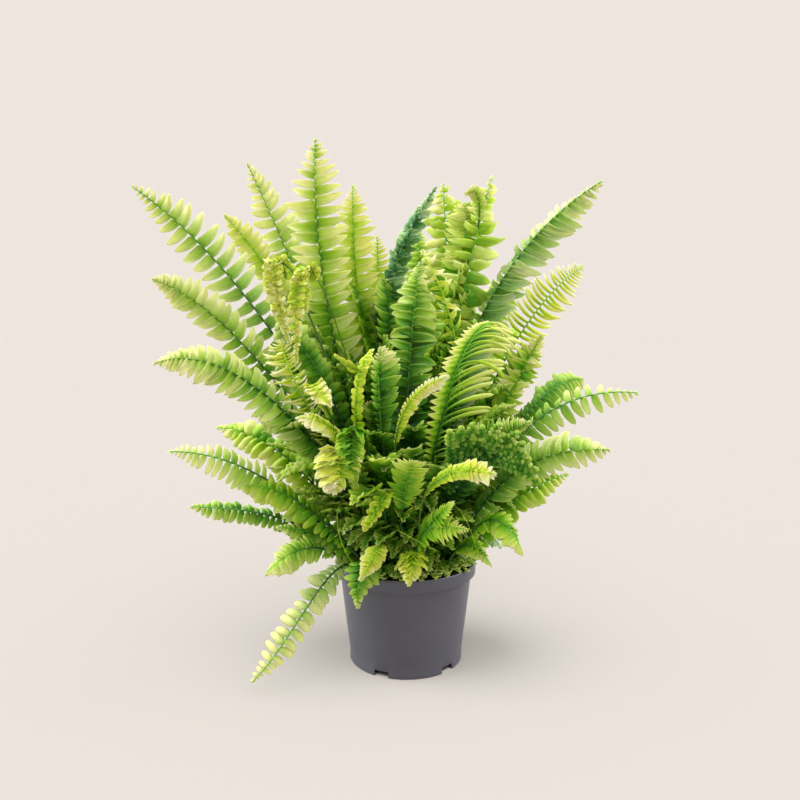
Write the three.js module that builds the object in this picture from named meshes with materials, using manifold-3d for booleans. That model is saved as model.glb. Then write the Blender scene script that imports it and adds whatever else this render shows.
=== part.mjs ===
// A sword fern in a plain nursery pot, in millimetres with +Z up.
// The origin is the centre of the pot's flat base, and the front of the plant faces -Y.

import * as THREE from 'three';
import { mergeVertices } from 'three/addons/utils/BufferGeometryUtils.js';
import Module from 'manifold-3d';

const wasm = await Module();
wasm.setup();

// ---- pot -------------------------------------------------------------------

const potHeight = 86;
const rimRadius = 60;
const rimBand = 10.5;
const shoulderRadius = 56.4;
const waistRadius = 48.1;
const footRadius = 48.5;
const footBand = 4;
const potWall = 1.4;
const potFloor = 2;
const drainCount = 5;
const drainWidth = 13;
const drainHeight = 5;
const firstDrain = -116;

// ---- root ball and crown ---------------------------------------------------

const soilTop = 79;
const soilEdge = 75;
const fit = 0.4;
const crownRadius = 25;
const crownHeight = 9;

// ---- leaves ----------------------------------------------------------------

const stemRadius = 1;
const bladeHalfThickness = 1.2;
const gap = 0.45;
const tipWidths = 1.25;
const shoulderLength = 0.25;
const shoulderWidth = 0.4;

// The leaves grow in three whorls. The feet of one whorl stand evenly round it, anticlockwise from
// the front in the order of the rows.
const whorls = {
  inner: { radius: 10, footHeight: 83 },
  middle: { radius: 20, footHeight: 81 },
  outer: { radius: 40, footHeight: 72 },
};

const ages = {
  old: { color: 0x3f6f2c, roughness: 0.55 },
  grown: { color: 0x5f9430, roughness: 0.5 },
  fresh: { color: 0x8db832, roughness: 0.5 },
  young: { color: 0xc4d84a, roughness: 0.5 },
};

// Each row: name, [x, y, z] half way along, [x, y, z] of the tip, lift (how far the foot end is pulled
// up before it leans out), side (azimuth from the front towards +X, and elevation) that one row of
// leaflets points to, width across the leaflets, bare part of the length, age.
const leaves = {
  inner: [
    ['heart', [1, -40, 226], [11, -30, 335], 0, [90, 0], 46, 0.12, 'grown'],
    ['heart_arch', [42, -30, 228], [12, -28, 343], 0, [90, 0], 16, 0.6, 'young'],
    ['top_right_twisted', [34, -5, 248], [72, 10, 409], 0, [90, -10], 48, 0.12, 'fresh'],
    ['top_right', [33, 20, 247], [33, 45, 410], 0, [90, 0], 42, 0.12, 'fresh'],
    ['top_blue', [-23, 20, 262], [25, 25, 403], 0, [70, 0], 34, 0.12, 'old'],
    ['top_middle', [-16, 40, 228], [-26, 60, 367], 0, [90, 0], 42, 0.12, 'fresh'],
    ['top_second', [-35, 25, 256], [-47, 45, 409], 0, [90, 0], 42, 0.12, 'fresh'],
    ['left_high', [-74, 30, 277], [-139, 40, 427], 0, [90, 30], 40, 0.12, 'grown'],
    ['tallest', [-61, 5, 273], [-77, 20, 442], 0, [90, 5], 48, 0.12, 'grown'],
    ['left_long', [-111, -10, 280], [-222, -10, 397], 0, [90, 45], 44, 0.12, 'grown'],
    ['left_curl', [-94, -24, 326], [-91, -45, 271], 30, [90, 20], 18, 0.5, 'young'],
    ['left_curl_inner', [-70, -32, 321], [-84, -55, 258], 30, [90, 10], 15, 0.52, 'young'],
    ['left_curl_low', [-66, -50, 228], [-56, -80, 226], 20, [90, 20], 16, 0.4, 'young'],
    ['heart_left', [-19, -50, 200], [-20, -58, 267], 0, [80, 0], 28, 0.5, 'fresh'],
  ],
  middle: [
    ['front_edge_lit', [-7, -66, 204], [29, -82, 247], 10, [60, -60], 15, 0.45, 'young'],
    ['right_arch', [31, -60, 228], [63, -60, 287], 0, [60, -30], 46, 0.25, 'fresh'],
    ['right_arch_low', [46, -60, 172], [90, -80, 213], 0, [70, -20], 52, 0.25, 'grown'],
    ['right_star', [72, 0, 195], [116, 10, 277], 0, [90, -45], 30, 0.12, 'fresh'],
    ['right_long', [58, 0, 281], [164, 10, 406], 0, [50, -25], 38, 0.12, 'grown'],
    ['right_comb', [82, 20, 247], [157, 40, 339], 0, [90, -40], 40, 0.12, 'young'],
    ['back_right_tall', [60, 65, 240], [118, 130, 345], 0, [90, -20], 40, 0.12, 'grown'],
    ['back_tall', [12, 75, 255], [15, 145, 385], 0, [90, 0], 42, 0.12, 'grown'],
    ['back_left_tall', [-55, 65, 245], [-100, 125, 365], 0, [90, 20], 40, 0.12, 'old'],
    ['left_short', [-81, 15, 268], [-155, 20, 379], 0, [90, 35], 28, 0.12, 'fresh'],
    ['left_second', [-115, -25, 251], [-201, -30, 321], 0, [100, 50], 33, 0.12, 'grown'],
    ['left_arch', [-105, -45, 226], [-191, -60, 256], 0, [150, 50], 32, 0.12, 'grown'],
    ['left_pale_comb', [-74, -38, 212], [-98, -45, 273], 10, [90, 10], 34, 0.4, 'young'],
    ['front_left_curl', [-45, -55, 190], [-81, -75, 216], 10, [180, 20], 24, 0.4, 'young'],
    ['heart_yellow', [-38, -64, 205], [-26, -70, 266], 0, [50, 0], 18, 0.3, 'young'],
    ['front_left_strip', [-13, -74, 160], [-30, -95, 137], 20, [-60, -20], 13, 0.5, 'young'],
    ['front_fan', [-3, -70, 147], [4, -92, 186], 0, [90, -10], 28, 0.5, 'fresh'],
  ],
  outer: [
    ['rim_front', [4, -68, 110], [2, -85, 93], 15, [-90, 0], 30, 0.3, 'young'],
    ['front_spiky', [13, -80, 131], [43, -98, 138], 10, [0, -70], 26, 0.2, 'fresh'],
    ['front_pale', [14, -82, 160], [62, -100, 179], 0, [0, -60], 22, 0.5, 'young'],
    ['rim_right', [46, -66, 117], [63, -81, 106], 10, [0, -20], 18, 0.3, 'fresh'],
    ['right_droop', [65, -75, 139], [85, -90, 118], 20, [0, -30], 24, 0.25, 'fresh'],
    ['right_broad', [76, -60, 166], [152, -70, 191], 0, [0, -62], 36, 0.12, 'grown'],
    ['right_under', [75, -30, 133], [133, -20, 163], 0, [0, -50], 28, 0.12, 'fresh'],
    ['right_far', [92, -30, 197], [182, -40, 232], 0, [0, -55], 34, 0.12, 'grown'],
    ['right_dark', [90, -15, 200], [147, -10, 241], 0, [0, -55], 30, 0.12, 'grown'],
    ['rim_right_back', [62, 5, 110], [84, 12, 92], 15, [0, 0], 22, 0.25, 'old'],
    ['back_right_arch', [85, 45, 190], [165, 75, 225], 10, [0, 0], 36, 0.12, 'grown'],
    ['back_right_high', [70, 85, 230], [120, 160, 285], 0, [40, 0], 38, 0.12, 'grown'],
    ['back_low', [25, 85, 150], [45, 165, 150], 20, [90, 0], 34, 0.12, 'old'],
    ['back_arch', [-5, 90, 200], [-15, 185, 240], 0, [90, 0], 38, 0.12, 'grown'],
    ['back_left_low', [-45, 80, 140], [-80, 150, 130], 20, [130, 0], 34, 0.12, 'old'],
    ['back_left_high', [-75, 75, 210], [-135, 135, 265], 0, [130, 0], 38, 0.12, 'grown'],
    ['left_back_low', [-75, 35, 125], [-125, 60, 125], 20, [180, 0], 30, 0.12, 'old'],
    ['left_hidden', [-93, 0, 165], [-163, 10, 198], 0, [180, 40], 34, 0.12, 'fresh'],
    ['left_dark', [-105, -40, 132], [-169, -50, 143], 10, [180, 45], 20, 0.12, 'grown'],
    ['left_fingers', [-103, -50, 160], [-178, -70, 190], 0, [180, 55], 32, 0.12, 'grown'],
    ['left_droop', [-76, -65, 114], [-106, -80, 99], 12, [170, 40], 24, 0.25, 'fresh'],
    ['front_droop', [-67, -75, 84], [-117, -80, 15], 32, [-100, 33], 26, 0.25, 'fresh'],
    ['front_left_cluster', [-44, -70, 190], [-52, -90, 163], 40, [-90, 0], 34, 0.4, 'young'],
    ['rim_left', [-20, -68, 117], [-34, -86, 97], 15, [-90, 0], 17, 0.4, 'young'],
    ['rim_middle', [-31, -74, 104], [-36, -86, 76], 15, [-90, 0], 30, 0.3, 'grown'],
  ],
};

const rad = THREE.MathUtils.degToRad;

function toSolid(geometry) {
  const bare = geometry.clone();
  bare.deleteAttribute('normal');
  bare.deleteAttribute('uv');
  const merged = mergeVertices(bare, 1e-4);
  return new wasm.Manifold(new wasm.Mesh({
    numProp: 3,
    vertProperties: new Float32Array(merged.attributes.position.array),
    triVerts: new Uint32Array(merged.index.array),
  }));
}

function toGeometry(solid) {
  const mesh = solid.getMesh();
  const geometry = new THREE.BufferGeometry();
  geometry.setAttribute('position', new THREE.BufferAttribute(mesh.vertProperties, 3));
  geometry.setIndex(new THREE.BufferAttribute(mesh.triVerts, 1));
  const faceted = geometry.toNonIndexed();
  faceted.computeVertexNormals();
  return faceted;
}

function named(name, geometry, look) {
  const mesh = new THREE.Mesh(geometry, new THREE.MeshStandardMaterial({ metalness: 0, ...look }));
  mesh.name = name;
  return mesh;
}

// A LatheGeometry turned so that its axis is Z.
function turned(profile, segments) {
  const points = profile.map(([r, z]) => new THREE.Vector2(r, z));
  return new THREE.LatheGeometry(points, segments).rotateX(Math.PI / 2);
}

// ---- pot -------------------------------------------------------------------

const shoulder = potHeight - rimBand;
const innerFoot = waistRadius - potWall;
const innerShoulder = shoulderRadius - potWall;

function pot() {
  const shell = toSolid(turned([
    [0, 0],
    [footRadius, 0],
    [footRadius, footBand],
    [waistRadius, footBand + 1],
    [shoulderRadius, shoulder],
    [rimRadius - 0.4, shoulder],
    [rimRadius, shoulder + 0.6],
    [rimRadius, potHeight - 0.8],
    [rimRadius - 0.6, potHeight],
    [rimRadius - 1.6, potHeight],
    [rimRadius - 2.2, potHeight - 0.8],
    [rimRadius - 2.4, shoulder + 1.4],
    [innerShoulder, shoulder - 1.4],
    [innerFoot, potFloor + 1.5],
    [innerFoot - 1.5, potFloor],
    [0, potFloor],
  ], 60));
  let cut = shell;
  for (let i = 0; i < drainCount; i++) {
    const drain = new THREE.BoxGeometry(12, drainWidth, 2 * drainHeight);
    drain.translate(footRadius + 2, 0, 0);
    drain.rotateZ(rad(firstDrain + i * 360 / drainCount));
    cut = cut.subtract(toSolid(drain));
  }
  return cut;
}

// ---- root ball and crown ---------------------------------------------------

function soil() {
  return toSolid(turned([
    [0, potFloor + 0.3],
    [innerFoot - 2, potFloor + 0.3],
    [innerFoot - fit, potFloor + 2],
    [innerShoulder - fit, shoulder - 2],
    [innerShoulder - fit - 1, soilEdge + 0.5],
    [crownRadius + 8, soilTop],
    [0, soilTop],
  ], 40));
}

function crown() {
  const foot = soilTop + 0.3;
  return toSolid(turned([
    [0, foot],
    [crownRadius, foot],
    [crownRadius - 1, foot + 0.45 * crownHeight],
    [crownRadius - 9, foot + 0.85 * crownHeight],
    [0, foot + crownHeight],
  ], 32));
}

// ---- leaves ----------------------------------------------------------------

// The midrib is a plain bend through its half way point, with its foot end lifted.
function midrib(foot, half, tip, lift) {
  const bend = half.clone().multiplyScalar(2).addScaledVector(foot, -0.5).addScaledVector(tip, -0.5);
  const start = foot.clone().lerp(bend, 2 / 3);
  start.z += lift;
  const end = half.clone().multiplyScalar(8).sub(foot).sub(tip).addScaledVector(start, -3).divideScalar(3);
  return new THREE.CubicBezierCurve3(foot, start, end, tip);
}

// Half width of the blade at a part s of its length: it fills out from the first leaflets, keeps its
// width, and runs down to the tip over a length of 1.25 times its width.
function bladeProfile(s, length, width) {
  const fillOut = shoulderWidth + (1 - shoulderWidth) * Math.min(1, s / shoulderLength);
  return fillOut * Math.min(1, (1 - s) * length / (tipWidths * width)) ** 0.7;
}

const stations = [0, 0.12, 0.25, 0.4, 0.55, 0.7, 0.8, 0.9, 1];

// A closed loft of four-cornered rings along the midrib. With no width it is only the stem.
function leafLoft(leaf, width, grow) {
  const rings = [[0, stemRadius, stemRadius], [0.6 * leaf.bare, stemRadius, stemRadius]];
  for (const s of stations) {
    const u = leaf.bare + (1 - leaf.bare) * s;
    const half = Math.max(0.9, 0.5 * width * bladeProfile(s, leaf.bladed, leaf.width));
    const fade = 1 - 0.5 * s;
    rings.push([u, half, (width ? bladeHalfThickness : stemRadius) * fade]);
  }
  const points = [];
  for (const [u, across, thick] of rings) {
    const centre = leaf.curve.getPoint(u);
    const along = leaf.curve.getTangent(u);
    const side = leaf.side.clone().addScaledVector(along, -leaf.side.dot(along)).normalize();
    const up = along.clone().cross(side);
    const wide = across + grow * (across > 2 ? 10 : 1);
    const deep = thick + grow;
    for (const [a, b] of [[wide, 0], [0, deep], [-wide, 0], [0, -deep]]) {
      points.push(centre.clone().addScaledVector(side, a).addScaledVector(up, b));
    }
  }
  const index = [];
  const last = 4 * (rings.length - 1);
  for (let r = 0; r < last; r += 4) {
    for (let k = 0; k < 4; k++) {
      const next = (k + 1) % 4;
      // its upper and under side fold along the same lines, so that a twisted blade keeps its thickness
      if (k < 2) {
        index.push(r + k, r + next, r + 4 + next);
        index.push(r + k, r + 4 + next, r + 4 + k);
      } else {
        index.push(r + k, r + next, r + 4 + k);
        index.push(r + next, r + 4 + next, r + 4 + k);
      }
    }
  }
  index.push(0, 2, 1, 0, 3, 2);
  index.push(last, last + 1, last + 2, last, last + 2, last + 3);
  const geometry = new THREE.BufferGeometry().setFromPoints(points);
  geometry.setIndex(index);
  return toSolid(geometry);
}

function growLeaves() {
  const grown = [];
  for (const [whorl, rows] of Object.entries(leaves)) {
    const { radius, footHeight } = whorls[whorl];
    rows.forEach(([name, half, tip, lift, [azimuth, elevation], width, bare, age], i) => {
      const turn = rad(-90 + i * 360 / rows.length);
      const foot = new THREE.Vector3(radius * Math.cos(turn), radius * Math.sin(turn), footHeight);
      const level = Math.cos(rad(elevation));
      const curve = midrib(foot, new THREE.Vector3(...half), new THREE.Vector3(...tip), lift);
      grown.push({
        name,
        age,
        bare,
        curve,
        bladed: curve.getLength() * (1 - bare),
        side: new THREE.Vector3(
          level * Math.sin(rad(azimuth)),
          -level * Math.cos(rad(azimuth)),
          Math.sin(rad(elevation)),
        ),
        width,
      });
    });
  }
  return grown;
}

// Where two leaves cross, their leaflets stand apart: the later leaf gives way to the earlier blade,
// and every blade gives way to the other's stem.
function part(grown) {
  for (const leaf of grown) {
    leaf.stem = leafLoft(leaf, 0, 0);
    leaf.blade = leafLoft(leaf, leaf.width, 0);
    leaf.stemRoom = leafLoft(leaf, 0, gap);
    leaf.bladeRoom = leafLoft(leaf, leaf.width, gap);
  }
  grown.forEach((leaf, i) => {
    let cut = leaf.blade;
    grown.forEach((other, j) => {
      if (j === i) return;
      cut = cut.subtract(j < i ? other.bladeRoom : other.stemRoom);
    });
    const whole = cut.add(leaf.stem);
    const pieces = whole.decompose();
    leaf.solid = pieces.reduce((a, b) => (b.volume() > a.volume() ? b : a));
  });
}

const fern = new THREE.Group();
fern.name = 'potted_fern';

const grown = growLeaves();
part(grown);

let socketedSoil = soil();
let socketedCrown = crown();
for (const leaf of grown) {
  socketedSoil = socketedSoil.subtract(leaf.stemRoom);
  socketedCrown = socketedCrown.subtract(leaf.stemRoom);
}

fern.add(named('pot', toGeometry(pot()), { color: 0x5c5c62, roughness: 0.6 }));
fern.add(named('soil', toGeometry(socketedSoil), { color: 0x2f241b, roughness: 0.95 }));
fern.add(named('crown', toGeometry(socketedCrown), { color: 0x4a3320, roughness: 0.9 }));
for (const leaf of grown) {
  fern.add(named(`frond_${leaf.name}`, toGeometry(leaf.solid), ages[leaf.age]));
}

export default fern;
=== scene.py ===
import math
import random

import bmesh
import bpy
from mathutils import Matrix, Vector, noise


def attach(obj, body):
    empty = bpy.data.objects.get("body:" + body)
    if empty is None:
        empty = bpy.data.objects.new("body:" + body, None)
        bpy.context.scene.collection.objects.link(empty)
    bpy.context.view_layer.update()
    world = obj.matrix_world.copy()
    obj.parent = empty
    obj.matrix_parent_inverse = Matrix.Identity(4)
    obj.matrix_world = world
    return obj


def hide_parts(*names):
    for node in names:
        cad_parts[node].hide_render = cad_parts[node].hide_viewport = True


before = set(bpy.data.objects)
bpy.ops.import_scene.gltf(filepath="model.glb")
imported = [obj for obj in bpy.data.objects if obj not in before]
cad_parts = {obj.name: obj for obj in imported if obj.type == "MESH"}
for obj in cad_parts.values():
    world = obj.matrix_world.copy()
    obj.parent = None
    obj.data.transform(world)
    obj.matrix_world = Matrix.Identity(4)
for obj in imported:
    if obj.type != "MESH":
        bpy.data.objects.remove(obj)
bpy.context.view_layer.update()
root = "root"

# the plant is worked out in millimetres and scaled to metres as each piece is finished
mm = 0.001


# scale of a pattern whose marks are this many millimetres across
def patternScale(size):
    return 1 / (size * mm)


def linear(hexColour):
    channels = [int(hexColour[i:i + 2], 16) / 255 for i in (1, 3, 5)]
    return [c / 12.92 if c <= 0.04045 else ((c + 0.055) / 1.055) ** 2.4 for c in channels] + [1]


def addNode(tree, kind, settings=None, links=None):
    node = tree.nodes.new(kind)
    for key, value in (settings or {}).items():
        if key == "stops":  # places and sRGB colours along a colour ramp
            elements = node.color_ramp.elements
            while len(elements) < len(value):
                elements.new(0.5)
            for element, (place, colour) in zip(elements, value):
                element.position = place
                element.color = linear(colour)
        elif isinstance(key, int) or key in node.inputs:
            node.inputs[key].default_value = value
        else:
            setattr(node, key, value)
    for socket, source in (links or {}).items():
        tree.links.new(source, node.inputs[socket])
    return node


def newMaterial(name):
    material = bpy.data.materials.new(name)
    material.use_nodes = True
    tree = material.node_tree
    tree.nodes.clear()
    return material, tree, tree.nodes.new("ShaderNodeOutputMaterial")


def finishPiece(bm, name, materials, nodes=(), smooth=True):
    bmesh.ops.transform(bm, matrix=Matrix.Scale(mm, 4), verts=bm.verts)
    mesh = bpy.data.meshes.new(name)
    for face in bm.faces:
        face.smooth = smooth
    bm.to_mesh(mesh)
    bm.free()
    for material in materials:
        mesh.materials.append(material)
    piece = bpy.data.objects.new(name, mesh)
    bpy.context.collection.objects.link(piece)
    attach(piece, root)
    if nodes:
        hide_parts(*nodes)
    return piece


view = {
    "back": 0.5908,  # from the pot's axis
    "height": 0.2759,
    "aside": -0.005,
    "pitch": 5.16,
    "focal": 31.5,
    "sensor": 36,
    "farthest": 2000,
}

camera = bpy.data.objects.new("camera", bpy.data.cameras.new("camera"))
camera.data.lens = view["focal"]
camera.data.sensor_width = view["sensor"]
camera.location = (view["aside"], -view["back"], view["height"])
camera.rotation_euler = (math.radians(90 - view["pitch"]), 0, 0)
camera.data.clip_end = view["farthest"]
bpy.context.collection.objects.link(camera)
bpy.context.scene.camera = camera

studio = {
    "floorSize": 1200,
    "backdrop": "#eee6de",
    "skyStrength": 1.0,
    # each soft sun: what it lights, strength, width in degrees, azimuth from the front, elevation
    "suns": {
        "softbox at the left": ("plant", 4.0, 40, -93, 40),
        "softbox at the right": ("plant", 2.8, 40, 97, 36),
        "lamp above": ("plant", 1.8, 12, -160, 66),
        "floor light at the left": ("floor", 6.5, 50, -80, 52),
        "floor light at the right": ("floor", 5.0, 55, 80, 55),
        "floor light in front": ("floor", 4.0, 60, 0, 45),
    },
}

scene = bpy.context.scene
scene.view_settings.view_transform = "Standard"
world = bpy.data.worlds.new("studio")
world.use_nodes = True
sky = world.node_tree.nodes["Background"]
sky.inputs["Color"].default_value = linear(studio["backdrop"])
sky.inputs["Strength"].default_value = studio["skyStrength"]
scene.world = world

bm = bmesh.new()
bmesh.ops.create_grid(bm, x_segments=1, y_segments=1, size=studio["floorSize"] / 2)
floorMesh = bpy.data.meshes.new("floor")
bm.to_mesh(floorMesh)
bm.free()
floor = bpy.data.objects.new("floor", floorMesh)
bpy.context.collection.objects.link(floor)

# light linking: the floor has its own suns, and of the plant only the pot shades them
floorOnly = bpy.data.collections.new("only the floor")
floorOnly.objects.link(floor)
notFloor = bpy.data.collections.new("all but the floor")
notFloor.objects.link(floor)
notFloor.collection_objects[0].light_linking.link_state = "EXCLUDE"
potShade = bpy.data.collections.new("shades the floor")

floorLight = 0
for name, (lit, strength, width, azimuth, elevation) in studio["suns"].items():
    sun = bpy.data.objects.new(name, bpy.data.lights.new(name, "SUN"))
    sun.data.energy = strength
    sun.data.angle = math.radians(width)
    turn, rise = math.radians(azimuth), math.radians(elevation)
    shine = Vector((-math.cos(rise) * math.sin(turn), math.cos(rise) * math.cos(turn), -math.sin(rise)))
    sun.rotation_euler = shine.to_track_quat("-Z", "Y").to_euler()
    bpy.context.collection.objects.link(sun)
    if lit == "floor":
        sun.light_linking.receiver_collection = floorOnly
        sun.light_linking.blocker_collection = potShade
        floorLight += strength * math.sin(rise) / math.pi
    else:
        sun.light_linking.receiver_collection = notFloor

# the floor is as much darker than the backdrop as its suns make it brighter, so the two meet unseen
backdrop = [c * studio["skyStrength"] for c in linear(studio["backdrop"])[:3]]
floorColour = [c / (c + floorLight) for c in backdrop] + [1]
# board, painted matt: one even pale tone with no sheen
material, tree, output = newMaterial("board, painted matt")
shader = addNode(tree, "ShaderNodeBsdfDiffuse", {"Color": floorColour, "Roughness": 0.0})
tree.links.new(shader.outputs[0], output.inputs[0])
floorMesh.materials.append(material)
print("camera, floor and light are set")


pot = {
    "segments": 144,
    "wall": 1.4,
    # radius and height up the outside, from the middle of the floor to the lip
    "profile": [
        (20, 0), (44, 0), (47.9, 0), (48.5, 0.5), (48.5, 4), (48.1, 5), (49.2, 15), (52.3, 40),
        (55.3, 66), (56.2, 73.5), (56.5, 75.2), (57, 75.5), (59.2, 75.5), (59.8, 75.8), (60, 76.4),
        (60, 84.6), (59.8, 85.5), (59.2, 86),
    ],
    "drains": 5,
    "firstDrain": -116,
    "drainSteps": 3,  # half its width, in segments
    "drainTop": 5.2,
    "drainIn": 44.5,
    "edge": 0.25,  # rounding of the sharp edges
    "sharpOver": 60,
    "smoothUnder": 40,
    "greys": [(0.3, "#474852"), (0.7, "#50515b")],
    "rough": (0.36, 0.46),
    "clouds": 45.5,
    "grain": 0.714,  # the mould's real grain is about 0.2 and would not show
    "grainDeep": 0.2,
}


def pottedGrey():
    # polypropylene, injection moulded: an even mid grey with a soft sheen, and faint cloudy flow in it
    material, tree, output = newMaterial("polypropylene, injection moulded")
    place = addNode(tree, "ShaderNodeTexCoord").outputs["Object"]
    flow = addNode(tree, "ShaderNodeTexNoise", {"Scale": patternScale(pot["clouds"]), "Detail": 4}, {
        "Vector": place})
    grain = addNode(tree, "ShaderNodeTexNoise", {"Scale": patternScale(pot["grain"]), "Detail": 2}, {
        "Vector": place})
    grey = addNode(tree, "ShaderNodeValToRGB", {"stops": pot["greys"]}, {"Fac": flow.outputs[0]})
    rough = addNode(tree, "ShaderNodeMapRange", {"To Min": pot["rough"][0], "To Max": pot["rough"][1]}, {
        "Value": flow.outputs[0]})
    bump = addNode(tree, "ShaderNodeBump", {"Strength": 0.12, "Distance": pot["grainDeep"] * mm}, {
        "Height": grain.outputs[0]})
    shader = addNode(tree, "ShaderNodeBsdfPrincipled", {"IOR": 1.49}, {
        "Base Color": grey.outputs[0], "Roughness": rough.outputs[0], "Normal": bump.outputs[0]})
    tree.links.new(shader.outputs[0], output.inputs[0])
    return material


def makePot():
    bm = bmesh.new()
    rim = [bm.verts.new((r, 0, z)) for r, z in pot["profile"]]
    line = [bm.edges.new(pair) for pair in zip(rim, rim[1:])]
    bmesh.ops.spin(bm, geom=rim + line, axis=(0, 0, 1), cent=(0, 0, 0), angle=2 * math.pi,
                   steps=pot["segments"], use_merge=True)
    bmesh.ops.remove_doubles(bm, verts=bm.verts, dist=0.001)
    middleHole = [e for e in bm.edges if e.is_boundary and max(v.co.z for v in e.verts) < 1]
    bmesh.ops.edgeloop_fill(bm, edges=middleHole)
    step = 2 * math.pi / pot["segments"]
    pitch = 2 * math.pi / pot["drains"]
    gone = []
    for face in bm.faces:
        middle = face.calc_center_median()
        if middle.z > pot["drainTop"] or middle.xy.length < pot["drainIn"]:
            continue
        turn = math.atan2(middle.y, middle.x) - math.radians(pot["firstDrain"])
        off = (turn + pitch / 2) % pitch - pitch / 2
        if abs(off) < pot["drainSteps"] * step:
            gone.append(face)
    bmesh.ops.delete(bm, geom=gone, context="FACES")
    bmesh.ops.recalc_face_normals(bm, faces=bm.faces)
    bmesh.ops.solidify(bm, geom=bm.faces[:], thickness=pot["wall"])
    bmesh.ops.recalc_face_normals(bm, faces=bm.faces)
    limit = math.radians(pot["sharpOver"])
    sharp = [e for e in bm.edges if e.is_manifold and e.calc_face_angle(0) > limit]
    bmesh.ops.bevel(bm, geom=sharp, offset=pot["edge"], segments=2, profile=0.5, affect="EDGES", material=-1)
    piece = finishPiece(bm, "nursery_pot", [pottedGrey()], ["pot"])
    piece.data.set_sharp_from_angle(angle=math.radians(pot["smoothUnder"]))
    return piece


potShade.objects.link(makePot())
print("pot is made")


rootBall = {
    "segments": 96,
    # radius and height: under the soil and up its side, then the rings of its top
    "side": [(0, 2.3), (44, 2.3), (46.2, 4), (54.4, 73), (53.2, 75.6), (45, 77.4)],
    "topRings": (34, 22, 10, 0),
    "top": 79,
    "finerOver": 75,
    "lumpsOver": 75.7,
    "lump": 1.2,
    "lumpsPerMm": 0.25,
    "crumbs": 420,
    "crumbSize": (0.8, 2.6),
    "crumbsWithin": 51,
    "crumbHeight": 78.6,
    "outerFall": 0.0007,  # the top is lower away from the middle, by the square of the distance
    "browns": [(0.3, "#1d150f"), (0.55, "#33261b"), (0.8, "#5a4632")],
    "clumps": 6.25,
    "fibres": 1.43,  # real fibres are about 0.3 thick and would not show
    "fibresDeep": 1,
    "seed": 4,
}


def peat():
    # peat, milled: a dark brown crumb that scatters all light, with paler fibres in it
    material, tree, output = newMaterial("peat, milled")
    place = addNode(tree, "ShaderNodeTexCoord").outputs["Object"]
    clumps = addNode(tree, "ShaderNodeTexNoise", {
        "Scale": patternScale(rootBall["clumps"]), "Detail": 6, "Roughness": 0.7}, {"Vector": place})
    fibres = addNode(tree, "ShaderNodeTexNoise", {"Scale": patternScale(rootBall["fibres"]), "Detail": 3}, {
        "Vector": place})
    brown = addNode(tree, "ShaderNodeValToRGB", {"stops": rootBall["browns"]}, {"Fac": clumps.outputs[0]})
    bump = addNode(tree, "ShaderNodeBump", {"Strength": 0.8, "Distance": rootBall["fibresDeep"] * mm}, {
        "Height": fibres.outputs[0]})
    shader = addNode(tree, "ShaderNodeBsdfPrincipled", {"Roughness": 0.95}, {
        "Base Color": brown.outputs[0], "Normal": bump.outputs[0]})
    tree.links.new(shader.outputs[0], output.inputs[0])
    return material


def makeRootBall():
    rng = random.Random(rootBall["seed"])
    profile = rootBall["side"] + [(r, rootBall["top"]) for r in rootBall["topRings"]]
    bm = bmesh.new()
    points = [bm.verts.new((r, 0, z)) for r, z in profile]
    line = [bm.edges.new(pair) for pair in zip(points, points[1:])]
    bmesh.ops.spin(bm, geom=points + line, axis=(0, 0, 1), cent=(0, 0, 0), angle=2 * math.pi,
                   steps=rootBall["segments"], use_merge=True)
    bmesh.ops.remove_doubles(bm, verts=bm.verts, dist=0.01)
    top = [e for e in bm.edges if min(v.co.z for v in e.verts) > rootBall["finerOver"]]
    bmesh.ops.subdivide_edges(bm, edges=top, cuts=1, use_grid_fill=True)
    bmesh.ops.recalc_face_normals(bm, faces=bm.faces)
    for v in bm.verts:
        if v.co.z > rootBall["lumpsOver"]:
            v.co.z += rootBall["lump"] * noise.noise(v.co * rootBall["lumpsPerMm"]) - rootBall["lump"] / 2
    for _ in range(rootBall["crumbs"]):
        size = rng.uniform(*rootBall["crumbSize"])
        away = rootBall["crumbsWithin"] * math.sqrt(rng.random())
        turn = rng.uniform(0, 2 * math.pi)
        height = rootBall["crumbHeight"] - rootBall["outerFall"] * away ** 2
        place = Matrix.Translation((away * math.cos(turn), away * math.sin(turn), height))
        shape = Matrix.Diagonal((size, size * rng.uniform(0.6, 1), size * rng.uniform(0.4, 0.8), 1))
        tilt = Matrix.Rotation(rng.uniform(0, 3), 4, (rng.random(), rng.random(), 0.3))
        bmesh.ops.create_icosphere(bm, subdivisions=1, radius=0.5, matrix=place @ tilt @ shape)
    return finishPiece(bm, "peat_root_ball", [peat()], ["soil"], smooth=False)


makeRootBall()
print("root ball is made")


crown = {
    "foot": 79.3,
    "radius": 24,
    "height": 8.2,
    "scales": 260,
    "scaleLength": (2.5, 5.5),
    "scaleRadii": (0.55, 0.05),  # at its foot and its tip
    "scaleFlatness": 0.35,
    "scaleLean": (0.2, 1.2),
    "scaleSunk": 0.3,
    "scalesWithin": 0.95,
    "smoothUpTo": 1,  # over its foot
    "lump": 0.25,
    "lumpsPerMm": 0.3,
    "browns": [(0.3, "#38241a"), (0.6, "#6a4427"), (0.85, "#a37c4c")],
    "patches": 4.17,
    "seed": 9,
}


def crownScale():
    # rhizome scales, dried: thin papery rust brown, paler at the edges
    material, tree, output = newMaterial("rhizome scales, dried")
    place = addNode(tree, "ShaderNodeTexCoord").outputs["Object"]
    patches = addNode(tree, "ShaderNodeTexNoise", {"Scale": patternScale(crown["patches"]), "Detail": 4}, {
        "Vector": place})
    brown = addNode(tree, "ShaderNodeValToRGB", {"stops": crown["browns"]}, {"Fac": patches.outputs[0]})
    shader = addNode(tree, "ShaderNodeBsdfPrincipled", {"Roughness": 0.75}, {
        "Base Color": brown.outputs[0]})
    tree.links.new(shader.outputs[0], output.inputs[0])
    return material


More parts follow.
